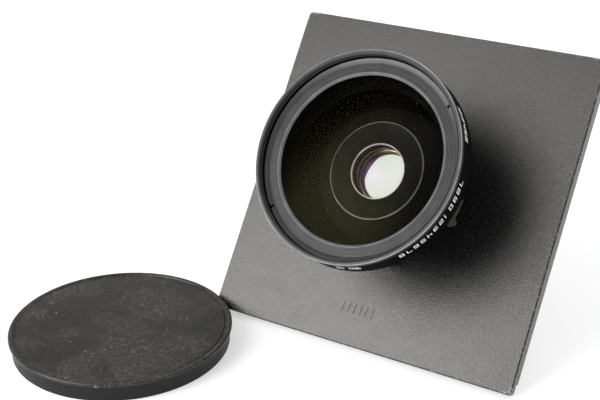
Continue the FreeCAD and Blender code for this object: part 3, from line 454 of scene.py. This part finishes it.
def cap_look():
    """Old black plastic: brownish scuffs, crossed scratches, pale nicks, a rubbed lip and a worn middle,
    with painted shade: the sides are darker than the face.
    """
    look = Look("cap_plastic", (0.03, 0.03, 0.03), 0.5, Specular_IOR_Level=0.25)
    place = look.place(CAP)
    radius, height, _ = look.split(look.rings(place))
    on_top = look.fit(height, 6.6, 7.6)
    on_lip = look.times(look.fit(radius, 44.2, 45.0), on_top)
    cloud = look.fit(look.noise(place, 0.05, 5.0, 0.6), 0.3, 0.7)
    base = look.blend(cloud, (0.013, 0.0125, 0.0122), (0.025, 0.0238, 0.0225))
    grain = look.fit(look.noise(place, 1.5, 4.0, 0.7), 0.42, 0.62)
    base = look.blend(look.times(grain, 0.45), base, (0.034, 0.032, 0.029))
    marks = scratch_lines(look, place, 15, 0.055, 0.64)
    for turn, stretch, limit in ((78, 0.07, 0.645), (128, 0.045, 0.65), (160, 0.09, 0.655),
                                 (47, 0.06, 0.66)):
        marks = look.math("MAXIMUM", marks, scratch_lines(look, place, turn, stretch, limit))
    scuff = look.times(look.fit(look.noise(place, 0.6, 6.0, 0.75), 0.47, 0.62),
                      look.fit(look.noise(place, 0.05, 3.0), 0.45, 0.62))
    color = look.blend(look.times(scuff, 0.75), base, (0.075, 0.064, 0.048))
    color = look.blend(look.times(worn_middle(look, place), 0.45), color, (0.06, 0.058, 0.05))
    color = look.blend(look.times(marks, 0.7), color, (0.14, 0.122, 0.094))
    nicks = look.fit(look.noise(place, 0.4, 2.0, 0.4), 0.75, 0.77)
    color = look.blend(look.times(nicks, 0.8), color, (0.28, 0.27, 0.26))
    # painted shade: the sides, below the face, get a darker colour than the face
    color = look.blend(on_top, (0.0075, 0.0075, 0.008), color)
    rubbed = look.worn(0.6, 0.35, 0.4, 0.6)
    color = look.blend(look.times(rubbed, 0.4), color, (0.12, 0.118, 0.115))
    look.set("Base Color", color)
    rough = look.spread(look.noise(place, 0.2, 5.0), 0.42, 0.56)
    look.set("Roughness", look.math("SUBTRACT", rough, look.times(on_lip, 0.2)))
    hills = look.bump(look.noise(place, 1.6, 4.0, 0.6), 0.45, 0.06)
    look.set("Normal", look.bump(look.times(marks, on_top), 0.5, -0.04, hills))
    return look.material


def worn_middle(look, place):
    """Scuffed oval in the middle of the cap's face, with a ragged edge."""
    bent = look.add("Mapping", {"Vector": place, "Scale": (0.055, 0.14, 0.0)}).outputs[0]
    reach = look.add("VectorMath", {0: bent}, operation="LENGTH").outputs["Value"]
    ragged = look.math("ADD", reach, look.noise(place, 0.28, 5.0, 0.7))
    broken = look.fit(look.noise(place, 0.9, 4.0, 0.7), 0.4, 0.6)
    return look.times(look.fit(ragged, 1.5, 1.35), broken)


def floor_look():
    """White sweep, which also glows a little, as paper lit from all round does."""
    look = Look("studio_floor", (0.55, 0.55, 0.55), 0.9, Specular_IOR_Level=0.1,
                Emission_Color=(1.0, 1.0, 1.0, 1.0), Emission_Strength=0.5)
    shade = look.noise(look.place(), 0.004, 2.0)
    look.set("Base Color", look.blend(shade, (0.55, 0.55, 0.55), (0.57, 0.57, 0.565)))
    return look.material


# name: colour, roughness, strength of its edge wear, Specular IOR Level
ANODISED = {
    "black": ("black_anodised", (0.004, 0.004, 0.0042), 0.36, 0.5, 0.04),
    "rim": ("rim_black", (0.014, 0.014, 0.0146), 0.34, 0.0, 0.3),
    # the filter rim's outer edge: a light grey that is a painted highlight
    "rim_edge_highlight": ("rim_edge_highlight", (0.20, 0.20, 0.205), 0.3, 0.0, 0.6),
    "thread": ("thread_black", (0.010, 0.010, 0.0104), 0.36, 0.0, 0.55),
    "nut": ("nut_grey", (0.018, 0.018, 0.0185), 0.34, 0.0, 0.45),
    "grey": ("grey_ring", (0.021, 0.021, 0.0216), 0.32, 0.0, 0.34),
    # the grooves between the baffle's ridges: darker than the ridges, painted shade
    "groove": ("painted_groove_shade", (0.006, 0.006, 0.006), 0.5, 0.0, 0.2),
    # the stop ring's inner lip: a light grey that is a painted highlight
    "lip": ("painted_lip_highlight", (0.45, 0.44, 0.43), 0.22, 0.0, 0.7),
    # the baffle's lip at the glass and the nut's outer top edge: a light grey that is a painted highlight
    "painted_edge_highlight": ("painted_edge_highlight", (0.075, 0.075, 0.077), 0.28, 0.0, 0.6),
    # the stop ring's outer edge: a faint grey that is a painted highlight
    "faint": ("painted_faint_edge_highlight", (0.07, 0.07, 0.065), 0.35, 0.0, 0.5),
    "dish": ("dish_black", (0.003, 0.003, 0.0032), 0.5, 0.0, 0.06),
}
# name: colour, roughness and, for the levers, the dark finish over the metal, lightened as a painted
# reflection
METAL = {
    "blades": ("blackened_steel", (0.09, 0.09, 0.095), 0.38),
    "brass": ("brass", (0.62, 0.47, 0.22), 0.3),
    # the levers' dark finish is lightened to an olive grey: painted reflection of the light their faces
    # catch
    "levers": ("lever_metal", (0.45, 0.44, 0.40), 0.35, (0.12, 0.118, 0.10)),
    "steel": ("steel", (0.5, 0.5, 0.52), 0.3),
    "chrome": ("socket_chrome", (0.72, 0.72, 0.74), 0.16),
}
# name: strength and colour of the gloss, refractive index, colour of the glass, gloss at a low angle
GLASS = {
    "front_glass": ("front_glass", 0.2, (0.30, 0.285, 0.14), 1.52, (0.987, 0.988, 0.984), (0.65, 0.8, 1.0)),
    "rear_glass": ("rear_glass", 0.2, (0.50, 0.60, 0.85), 1.52, (0.812, 0.857, 0.768)),
    "doublet_glass": ("doublet_glass", 1.0, (0.62, 0.20, 1.0), 1.6, (0.987, 0.988, 0.984)),
}


def make_looks():
    looks = {key: anodised_look(*values) for key, values in ANODISED.items()}
    looks.update((key, metal_look(*values)) for key, values in METAL.items())
    looks.update((key, glass_look(*values)) for key, values in GLASS.items())
    looks.update({
        "paint": board_paint_look(),
        "matt": matt_black_look(),
        "white": mark_look("white_fill", (0.80, 0.80, 0.78)),
        "engraved": mark_look("engraved_fill", (0.004, 0.004, 0.004)),
        "cap": cap_look(),
        "floor": floor_look(),
    })
    return looks


# the CAD nodes that stay, by the look that each wears
CARRIED = {
    "paint": ["board_plate", "light_trap_frame"],
    "black": ["flange_ring", "shutter_housing", "speed_ring", "front_plate", "aperture_scale"],
    "matt": ["iris_base_ring", "shutter_base_plate", "mechanism_plate"],
    "blades": ["iris_blade_%d" % k for k in range(1, 8)] + ["shutter_blade_%d" % k for k in range(1, 6)],
    "brass": ["iris_cam_ring", "press_focus_lever", "housing_posts", "iris_pivot_pins",
              "shutter_pivot_pins"],
    "levers": ["aperture_lever", "cocking_lever", "release_lever"],
    "steel": ["cocking_spring", "release_pivot", "index_screw", "front_plate_screws"],
    "chrome": ["cable_socket", "sync_socket", "sync_contact"],
}


def dress_cad(looks):
    """Give every CAD node that stays its material."""
    for look, names in CARRIED.items():
        for name in names:
            mesh = frame["nodes"][name].data
            mesh.materials.clear()
            mesh.materials.append(looks[look])


# ---------------------------------------------------------------- front cell
def front_cell(looks):
    shell = [
        (12.9, 12.6), (14.75, 12.6), (14.75, 20.4), (18.0, 20.4), (22.0, 21.4), (38.5, 31.6),
        (42.9, 38.9), (BAND_R, 39.4), (BAND_R, BARREL_FRONT), (41.4, BARREL_FRONT), (41.4, 47.2),
        (41.2, 47.2), (41.2, 43.0), (35.5, 43.0), (35.5, 31.4), (31.0, 31.4), (24.5, 29.0),
        (23.35, 28.6), (23.35, 26.2), (16.5, 22.0), (13.85, 22.0), (13.85, 13.2), (12.9, 13.2)]
    lathe("front_barrel_shell", shell, [looks["black"], looks["matt"]], ["front_barrel"],
          painted=front_inside)

    rim = threaded(41.4, BARREL_FRONT, 50.0, 0.6, 0.22) + [
        (41.5, 50.2), (42.2, 50.77), (43.1, 50.77), (BAND_R, 50.47), (BAND_R, 48.4),
        (43.2, BARREL_FRONT)]
    lathe("filter_rim", rim, [looks["rim"], looks["rim_edge_highlight"], looks["thread"]], ["filter_ring"],
          soft=0.08, painted=rim_part)

    nut = [(39.25, 43.0), (41.15, 43.0), (41.15, 46.9), (41.0, 46.92), (39.8, 46.5), (39.7, 46.4),
           (39.25, 46.25)]
    slots = [(angle, 0.65, 39.75, 45.4) for angle in (42.0, 221.0)]
    # the nut's outer top edge wears the light edge look: a painted highlight
    lathe("front_nut", nut, [looks["nut"], looks["painted_edge_highlight"]], ["front_retaining_ring"],
          steps=FINEST, soft=0.06, dips=slots, painted=lambda r, z: int(r > 40.9 and z > 46.5))

    lathe("baffle", baffle_outline(), [looks["grey"], looks["groove"], looks["painted_edge_highlight"]],
          ["baffle_ring"], soft=0, painted=baffle_part)

    lathe("front_glass", glass_outline((50.1, -135.0, FRONT_GLASS_R), 31.4, (45.6, -38.8, 30.0)),
          [looks["front_glass"], looks["matt"]], ["front_meniscus"], soft=0,
          painted=front_glass_part)

    stop = [(13.5, 22.0), (16.4, 22.0), (23.3, 26.25), (23.3, 28.5), (22.7, 28.5), (14.0, 22.75),
            (13.65, 22.5), (13.5, 22.35)]
    lathe("front_stop_ring", stop, [looks["dish"], looks["lip"], looks["faint"]],
          ["front_doublet_retainer"], soft=0.05, painted=stop_part)


def front_inside(radius, height):
    """0 the outside of the front barrel, 1 its matt inside below the retaining ring."""
    under_mouth = radius < 35.6 and height > 31.0
    flare_r = 22.0 + 1.618 * (height - 21.4)
    in_flare = height > 21.9 and radius < flare_r - 1.0
    return int(under_mouth or radius < 14.5 or in_flare)


def rim_part(radius, height):
    """0 the flat top of the rim, 1 its outer edge, a light grey that is a painted highlight, 2 the thread
    inside it.
    """
    if radius < 42.1:
        return 2
    return int(radius > 43.0 and height > 50.4)


def front_glass_part(radius, height):
    """0 the two polished faces, 1 the blackened edge and rim."""
    on_edge = radius > FRONT_GLASS_R - 0.01 and height < 45.3
    on_rim = radius > 30.0 and height < 31.5
    return int(on_edge or on_rim)


def stop_part(radius, height):
    """0 the dish, 1 its inner lip in light grey, a painted highlight, 2 its outer edge in a faint grey,
    also a painted highlight.
    """
    if radius < 13.9:
        return 1
    return 2 if radius > 22.6 and height > 28.4 else 0


RIDGES = 7               # ridges of the light baffle, and where they start and end
RIDGES_FROM = 35.6
RIDGES_TO = 39.2
RIDGE_TOP = 46.2         # height of the outermost ridge
RIDGE_RISE = 0.03        # and how much higher each one further in is
GROOVE = 0.2             # depth of the grooves between them


def baffle_outline():
    """Lip at the glass, then ridges with grooves between them, up to the retaining ring; the lip is painted
    light as a highlight and the grooves dark as shade.
    """
    pitch = (RIDGES_TO - RIDGES_FROM) / RIDGES
    points = [(35.5, 43.0), (RIDGES_TO, 43.0)]
    for ridge in range(RIDGES, 0, -1):
        radius = RIDGES_FROM + pitch * ridge
        height = RIDGE_TOP + RIDGE_RISE * (RIDGES - ridge)
        points += [(radius, height - GROOVE), (radius - 0.12 * pitch, height),
                   (radius - 0.62 * pitch, height), (radius - 0.75 * pitch, height - GROOVE)]
    return points + [(35.58, 46.3), (35.5, 46.5), (35.3, 46.5), (34.4, 45.78), (35.5, 45.46)]


def baffle_part(radius, height):
    """0 the tops of the ridges, 1 the grooves, darker as painted shade, 2 the lip at the glass, light grey
    as a painted highlight.
    """
    if radius < 35.45:
        return 2
    return int(45.9 < height < 46.17 or radius < 37 and height < 46.26)


# ---------------------------------------------------------------- glass
def glass_outline(front, edge_height, back):
    """A single glass: its front face, a step in its edge and its back face, each face as for dome()."""
    return list(reversed(dome(*front))) + [(max(front[2], back[2]), edge_height)] + dome(*back)


def doublets(looks):
    """Each cemented pair as one form: a bulging outer face, a flat rim and a shallow hollow face."""
    pairs = (("front", (26.0, -24.0), (14.5, -60.0), 13.2, 12.42),
             ("rear", (-9.0, 24.0), (0.6, 60.0), 1.8, 11.94))
    for side, outer, inner, rim, hollow_r in pairs:
        outline = list(reversed(dome(*outer, DOUBLET_R))) + [(DOUBLET_R, rim)] + dome(*inner, hollow_r)
        lathe(side + "_doublet_glass", outline, [looks["doublet_glass"], looks["matt"]],
              [side + "_crown", side + "_flint"], steps=COARSE, soft=0,
              painted=lambda r, z, rim=rim, hollow_r=hollow_r: int(
                  r > DOUBLET_R - 0.01 or abs(z - rim) < 0.05 and r > hollow_r))


# ---------------------------------------------------------------- rear cell
def rear_cell(looks):
    shell = [
        (12.9, 2.4), (14.75, 2.4), (14.75, -8.4), (21.5, -8.4), (22.5, -9.4), (33.0, -40.0),
        (35.0, -42.0), (35.0, -52.673), (34.7, -52.973), (31.6, -52.973), (31.6, -48.5), (28.6, -48.5),
        (28.6, -38.5), (25.5, -38.5), (19.0, -12.0), (13.85, -9.0), (13.85, 1.8), (12.9, 1.8)]
    lathe("rear_barrel_shell", shell, [looks["black"], looks["matt"]], ["rear_barrel"],
          painted=rear_inside)

    nut = [(27.6, -47.8), (REAR_GLASS_R, -47.8), (REAR_GLASS_R, -48.5), (31.55, -48.5), (31.55, -50.6),
           (28.4, -50.0)]
    slots = [(angle, 0.95, 30.0, -49.6) for angle in (90.0, 270.0)]
    lathe("rear_nut", nut, [looks["grey"]], ["rear_retaining_ring"], soft=0.1,
          steps=FINEST, dips=slots)

    lathe("rear_glass", glass_outline((-47.8, 35.6, 24.0), -38.5, (-52.0, 90.0, REAR_GLASS_R)),
          [looks["rear_glass"], looks["matt"]], ["rear_meniscus"], soft=0,
          painted=rear_glass_part)

    stop = [(12.9, -5.35), (13.8, -4.8), (13.8, -7.0), (13.3, -7.0), (12.9, -6.4)]
    lathe("rear_stop_ring", stop, [looks["black"]], ["rear_doublet_retainer"],
          steps=COARSE, soft=0.05)


def rear_inside(radius, height):
    """0 the outside of the rear barrel, 1 its matt inside in front of the rear retaining ring."""
    cone_r = 14.4 if height > -8.5 else 21.8 + 0.343 * (-9.4 - height)
    return int(height > -48.4 and radius < cone_r - 0.3 and radius < 28.7)


def rear_glass_part(radius, height):
    """0 the two polished faces, 1 the blackened edge and rim."""
    on_edge = radius > REAR_GLASS_R - 0.01 and height > -47.2
    on_rim = radius > 24.0 and height > -38.6
    return int(on_edge or on_rim)


# ---------------------------------------------------------------- shutter
def shutter_trim(looks):
    """The cover ring, with softened edges."""
    lathe("cover_ring_trim", [(17.0, 18.95), (23.0, 18.95), (22.6, 19.85), (17.0, 19.85)],
          [looks["black"]], ["cover_ring"], steps=COARSE, soft=0.12)


# ---------------------------------------------------------------- filled markings
# A mark is a grid of three columns and five rows; narrow outer columns and rows are its strokes.
DIGITS = ["111101101101111", "001001001001001", "111001111100111", "111001111001111", "101101111001001",
          "111100111001111", "111100111101111", "111001001001001", "111101111101111", "111101111001111"]
TWO_BARS = "101101101101101"
ONE_BAR = "100100100100100"
SOLID = "111111111111111"
LIFT = 0.03              # how far filled markings stand out of their face
ROOT = 0.05              # and how far they reach into it
SLANT = 0.12             # how far a mark leans for each millimetre of its height


class Marks:
    """Thin closed plates on a face; place(u, v, lift) gives a point in the lens frame."""

    def __init__(self, place):
        self.place = place
        self.points = []
        self.faces = []

    def glyph(self, pattern, left, bottom, wide, tall, stroke):
        """One mark; its filled cells meet without walls between them."""
        columns = [0.0, stroke, wide - stroke, wide]
        gap = (tall - 3 * stroke) / 2
        rows = [tall, tall - stroke, tall - stroke - gap, stroke + gap, stroke, 0.0]
        filled = {(k // 3, k % 3) for k, mark in enumerate(pattern) if mark == "1"}
        for row, column in filled:
            self.cell(left, bottom, columns[column:column + 2], rows[row:row + 2],
                      [(row + down, column + right) in filled
                       for down, right in ((0, -1), (1, 0), (0, 1), (-1, 0))])

    def cell(self, left, bottom, across, up, joined):
        """One filled cell, walled only where no other cell joins it."""
        corners = [(across[0], up[0]), (across[0], up[1]), (across[1], up[1]), (across[1], up[0])]
        first = len(self.points)
        for lift in (-ROOT, LIFT):
            for u, v in corners:
                point = self.place(left + u + SLANT * v, bottom + v, lift)
                self.points.append(tuple(part * MM for part in point))
        self.faces.append(tuple(first + k for k in range(4)))
        self.faces.append(tuple(first + 7 - k for k in range(4)))
        for side, has_more in enumerate(joined):
            if not has_more:
                after = (side + 1) % 4
                self.faces.append((first + side, first + after, first + 4 + after, first + 4 + side))

    def finish(self, name, look):
        mesh = bpy.data.meshes.new(name)
        mesh.from_pydata(self.points, [], self.faces)
        mesh.materials.append(look)
        tidy_mesh(mesh)
        place_piece(name, mesh, BASE, LENS)


def on_wall(radius, start, base, way=-1.0):
    """Marks round a wall that start at an angle; their tops point along the axis, way 1 or -1."""
    def place(u, v, lift):
        x, y = polar(radius + lift, start + way * math.degrees(u / radius))
        return x, y, base + way * v
    return place


def on_face(start, base, height):
    """Marks on a flat ring face, read from outside."""
    def place(u, v, lift):
        x, y = polar(base + v, start - math.degrees(u / base))
        return x, y, height + lift
    return place


def band_marks(looks):
    """Digits round the front barrel, in three groups: (first angle, last angle, how many)."""
    marks = Marks(on_wall(BAND_R, 0.0, 46.85))
    number = 0
    for first, last, count in ((42.0, 20.0, 6), (1.0, -51.0, 12), (-71.0, -85.0, 4)):
        for index in range(count):
            number += 1
            angle = first + (last - first) * index / count
            marks.glyph(DIGITS[number % 10], math.radians(-angle) * BAND_R, 0.0, 2.1, 2.8, 0.46)
    marks.finish("band_marks", looks["white"])


def case_marks(looks):
    """Digits below the speed dial, and strokes along the aperture scale."""
    wall = Marks(on_wall(CASE_R, 0.0, 1.4, 1.0))
    for index in range(10):
        angle = 28.0 + 9.0 * index
        wall.glyph(DIGITS[(index + 3) % 10], math.radians(angle) * CASE_R, 0.0, 1.5, 2.2, 0.32)
    wall.finish("case_marks", looks["white"])
    scale = Marks(on_face(0.0, SCALE_R, SCALE_TOP))
    for index in range(9):
        angle = 50.0 + 7.0 * index
        tall = 1.7 if index % 2 else 1.2
        scale.glyph(ONE_BAR, math.radians(-angle) * SCALE_R, 0.0, 0.9, tall, 0.3)
    scale.finish("scale_marks", looks["white"])


def board_marks(looks):
    """Three pairs of plain strokes and a dot, low on the front of the board and hardly raised."""
    marks = Marks(lambda u, v, lift: (u, v, lift - LIFT / 2))
    for left in (-10.4, -4.9, 0.6):
        marks.glyph(TWO_BARS, left, -56.6, 3.4, 4.2, 0.5)
    marks.glyph(SOLID, 33.0, -58.7, 0.6, 0.6, 0.2)
    marks.finish("board_marks", looks["engraved"])


# ---------------------------------------------------------------- cap
def cap(looks):
    outline = [
        (0, 6.0), (43.6, 6.0), (43.6, 0.0), (45.4, 0.0), (45.7, 0.3), (45.7, 6.5), (46.8, 6.9),
        (46.8, 7.9), (46.4, 8.3), (45.2, 8.3), (44.7, 7.6), (44.0, 7.6), (43.5, 8.0), (0, 8.0)]
    lathe("cap_shell", outline, [looks["cap"]], ["front_cap"], body="cap", place=CAP,
          soft=0.25)


# ---------------------------------------------------------------- studio
FLOOR_HALF = 6.0
FLOOR_DROP = 0.0002      # the floor lies this far below what stands on it
SKY = 0.55               # brightness of the white surroundings
WINDOW_TURN = -150.0     # degrees round from the back at which the window stands
WINDOW_FAR = 0.9
WINDOW_WIDE = 0.775
WINDOW_TALL = 1.6
WINDOW_MIDDLE = 0.95     # height of its middle above the floor
WINDOW_RADIANCE = 9.7


def studio(looks):
    """White floor and even white surroundings."""
    corners = [(x * FLOOR_HALF, y * FLOOR_HALF, 0) for x, y in ((-1, -1), (1, -1), (1, 1), (-1, 1))]
    mesh = bpy.data.meshes.new("floor")
    mesh.from_pydata(corners, [], [(0, 1, 2, 3)])
    mesh.materials.append(looks["floor"])
    floor = bpy.data.objects.new("floor", mesh)
    bpy.context.scene.collection.objects.link(floor)
    floor.location.z = -FLOOR_DROP
    world = bpy.data.worlds.new("studio")
    world.use_nodes = True
    background = world.node_tree.nodes["Background"]
    background.inputs["Color"].default_value = (1, 1, 1, 1)
    background.inputs["Strength"].default_value = SKY
    bpy.context.scene.world = world
    bpy.context.scene.view_settings.view_transform = "Standard"


def softbox(name, place, target, wide, tall, radiance):
    """Rectangular light; its power follows from how bright its face is."""
    light = bpy.data.lights.new(name, "AREA")
    light.shape = "RECTANGLE"
    light.size = wide
    light.size_y = tall
    light.energy = math.pi * wide * tall * radiance
    lamp = bpy.data.objects.new(name, light)
    bpy.context.scene.collection.objects.link(lamp)
    lamp.location = place
    lamp.rotation_euler = (Vector(target) - Vector(place)).to_track_quat("-Z", "Y").to_euler()
    lamp.visible_camera = False
    return lamp


def shade_window(lamp):
    """Let the window's brightness fall with height and towards its sides, as a real soft light's does."""
    lamp.use_nodes = True
    tree = lamp.node_tree

    def math_node(operation, *values):
        return add_node(tree, "Math", dict(enumerate(values)), {"operation": operation}).outputs[0]

    def bell(value, start, span, middle, width, least):
        """least + (1 - least) / (1 + ((start + span * value - middle) / width) ** 2)"""
        offset = math_node("MULTIPLY_ADD", value, span / width, (start - middle) / width)
        square = math_node("MULTIPLY_ADD", offset, offset, 1.0)
        return math_node("ADD", math_node("DIVIDE", 1.0 - least, square), least)

    face = add_node(tree, "NewGeometry", {}, {}).outputs["Parametric"]
    across, up, _ = add_node(tree, "SeparateXYZ", {0: face}, {}).outputs
    height = bell(up, WINDOW_MIDDLE - WINDOW_TALL / 2, WINDOW_TALL, 0.5, 0.45, 0.03)
    side = bell(across, -WINDOW_WIDE / 2, WINDOW_WIDE, 0.0, 0.6, 0.0)
    feed(tree, tree.nodes["Emission"].inputs["Strength"], math_node("MULTIPLY", height, side))


def lights():
    """A tall window in front, to the left of the camera, and a weaker light behind."""
    away = math.radians(WINDOW_TURN)
    faces_x = 0.03
    place = (faces_x + math.sin(away) * WINDOW_FAR, math.cos(away) * WINDOW_FAR, WINDOW_MIDDLE)
    window = softbox("front_window", place, (faces_x, 0, WINDOW_MIDDLE), WINDOW_WIDE, WINDOW_TALL,
                     WINDOW_RADIANCE)
    shade_window(window.data)
    softbox("back_light", (0.2, 0.9, 1.0), (0.05, 0.15, 0), 1.0, 1.0, 3.0)


def camera():
    """The photo's camera, as solved from the edges of the board."""
    data = bpy.data.cameras.new("camera")
    data.lens = 74.529
    data.sensor_width = 36.0
    eye = bpy.data.objects.new("camera", data)
    bpy.context.scene.collection.objects.link(eye)
    eye.location = (0.249478, -0.395661, 0.272540)
    eye.rotation_euler = Euler([math.radians(angle) for angle in (65.4800, 0.4740, 31.7444)])
    bpy.context.scene.camera = eye


camera()
LOOKS = make_looks()
dress_cad(LOOKS)
front_cell(LOOKS)
doublets(LOOKS)
rear_cell(LOOKS)
shutter_trim(LOOKS)
band_marks(LOOKS)
case_marks(LOOKS)
board_marks(LOOKS)
cap(LOOKS)
studio(LOOKS)
lights()
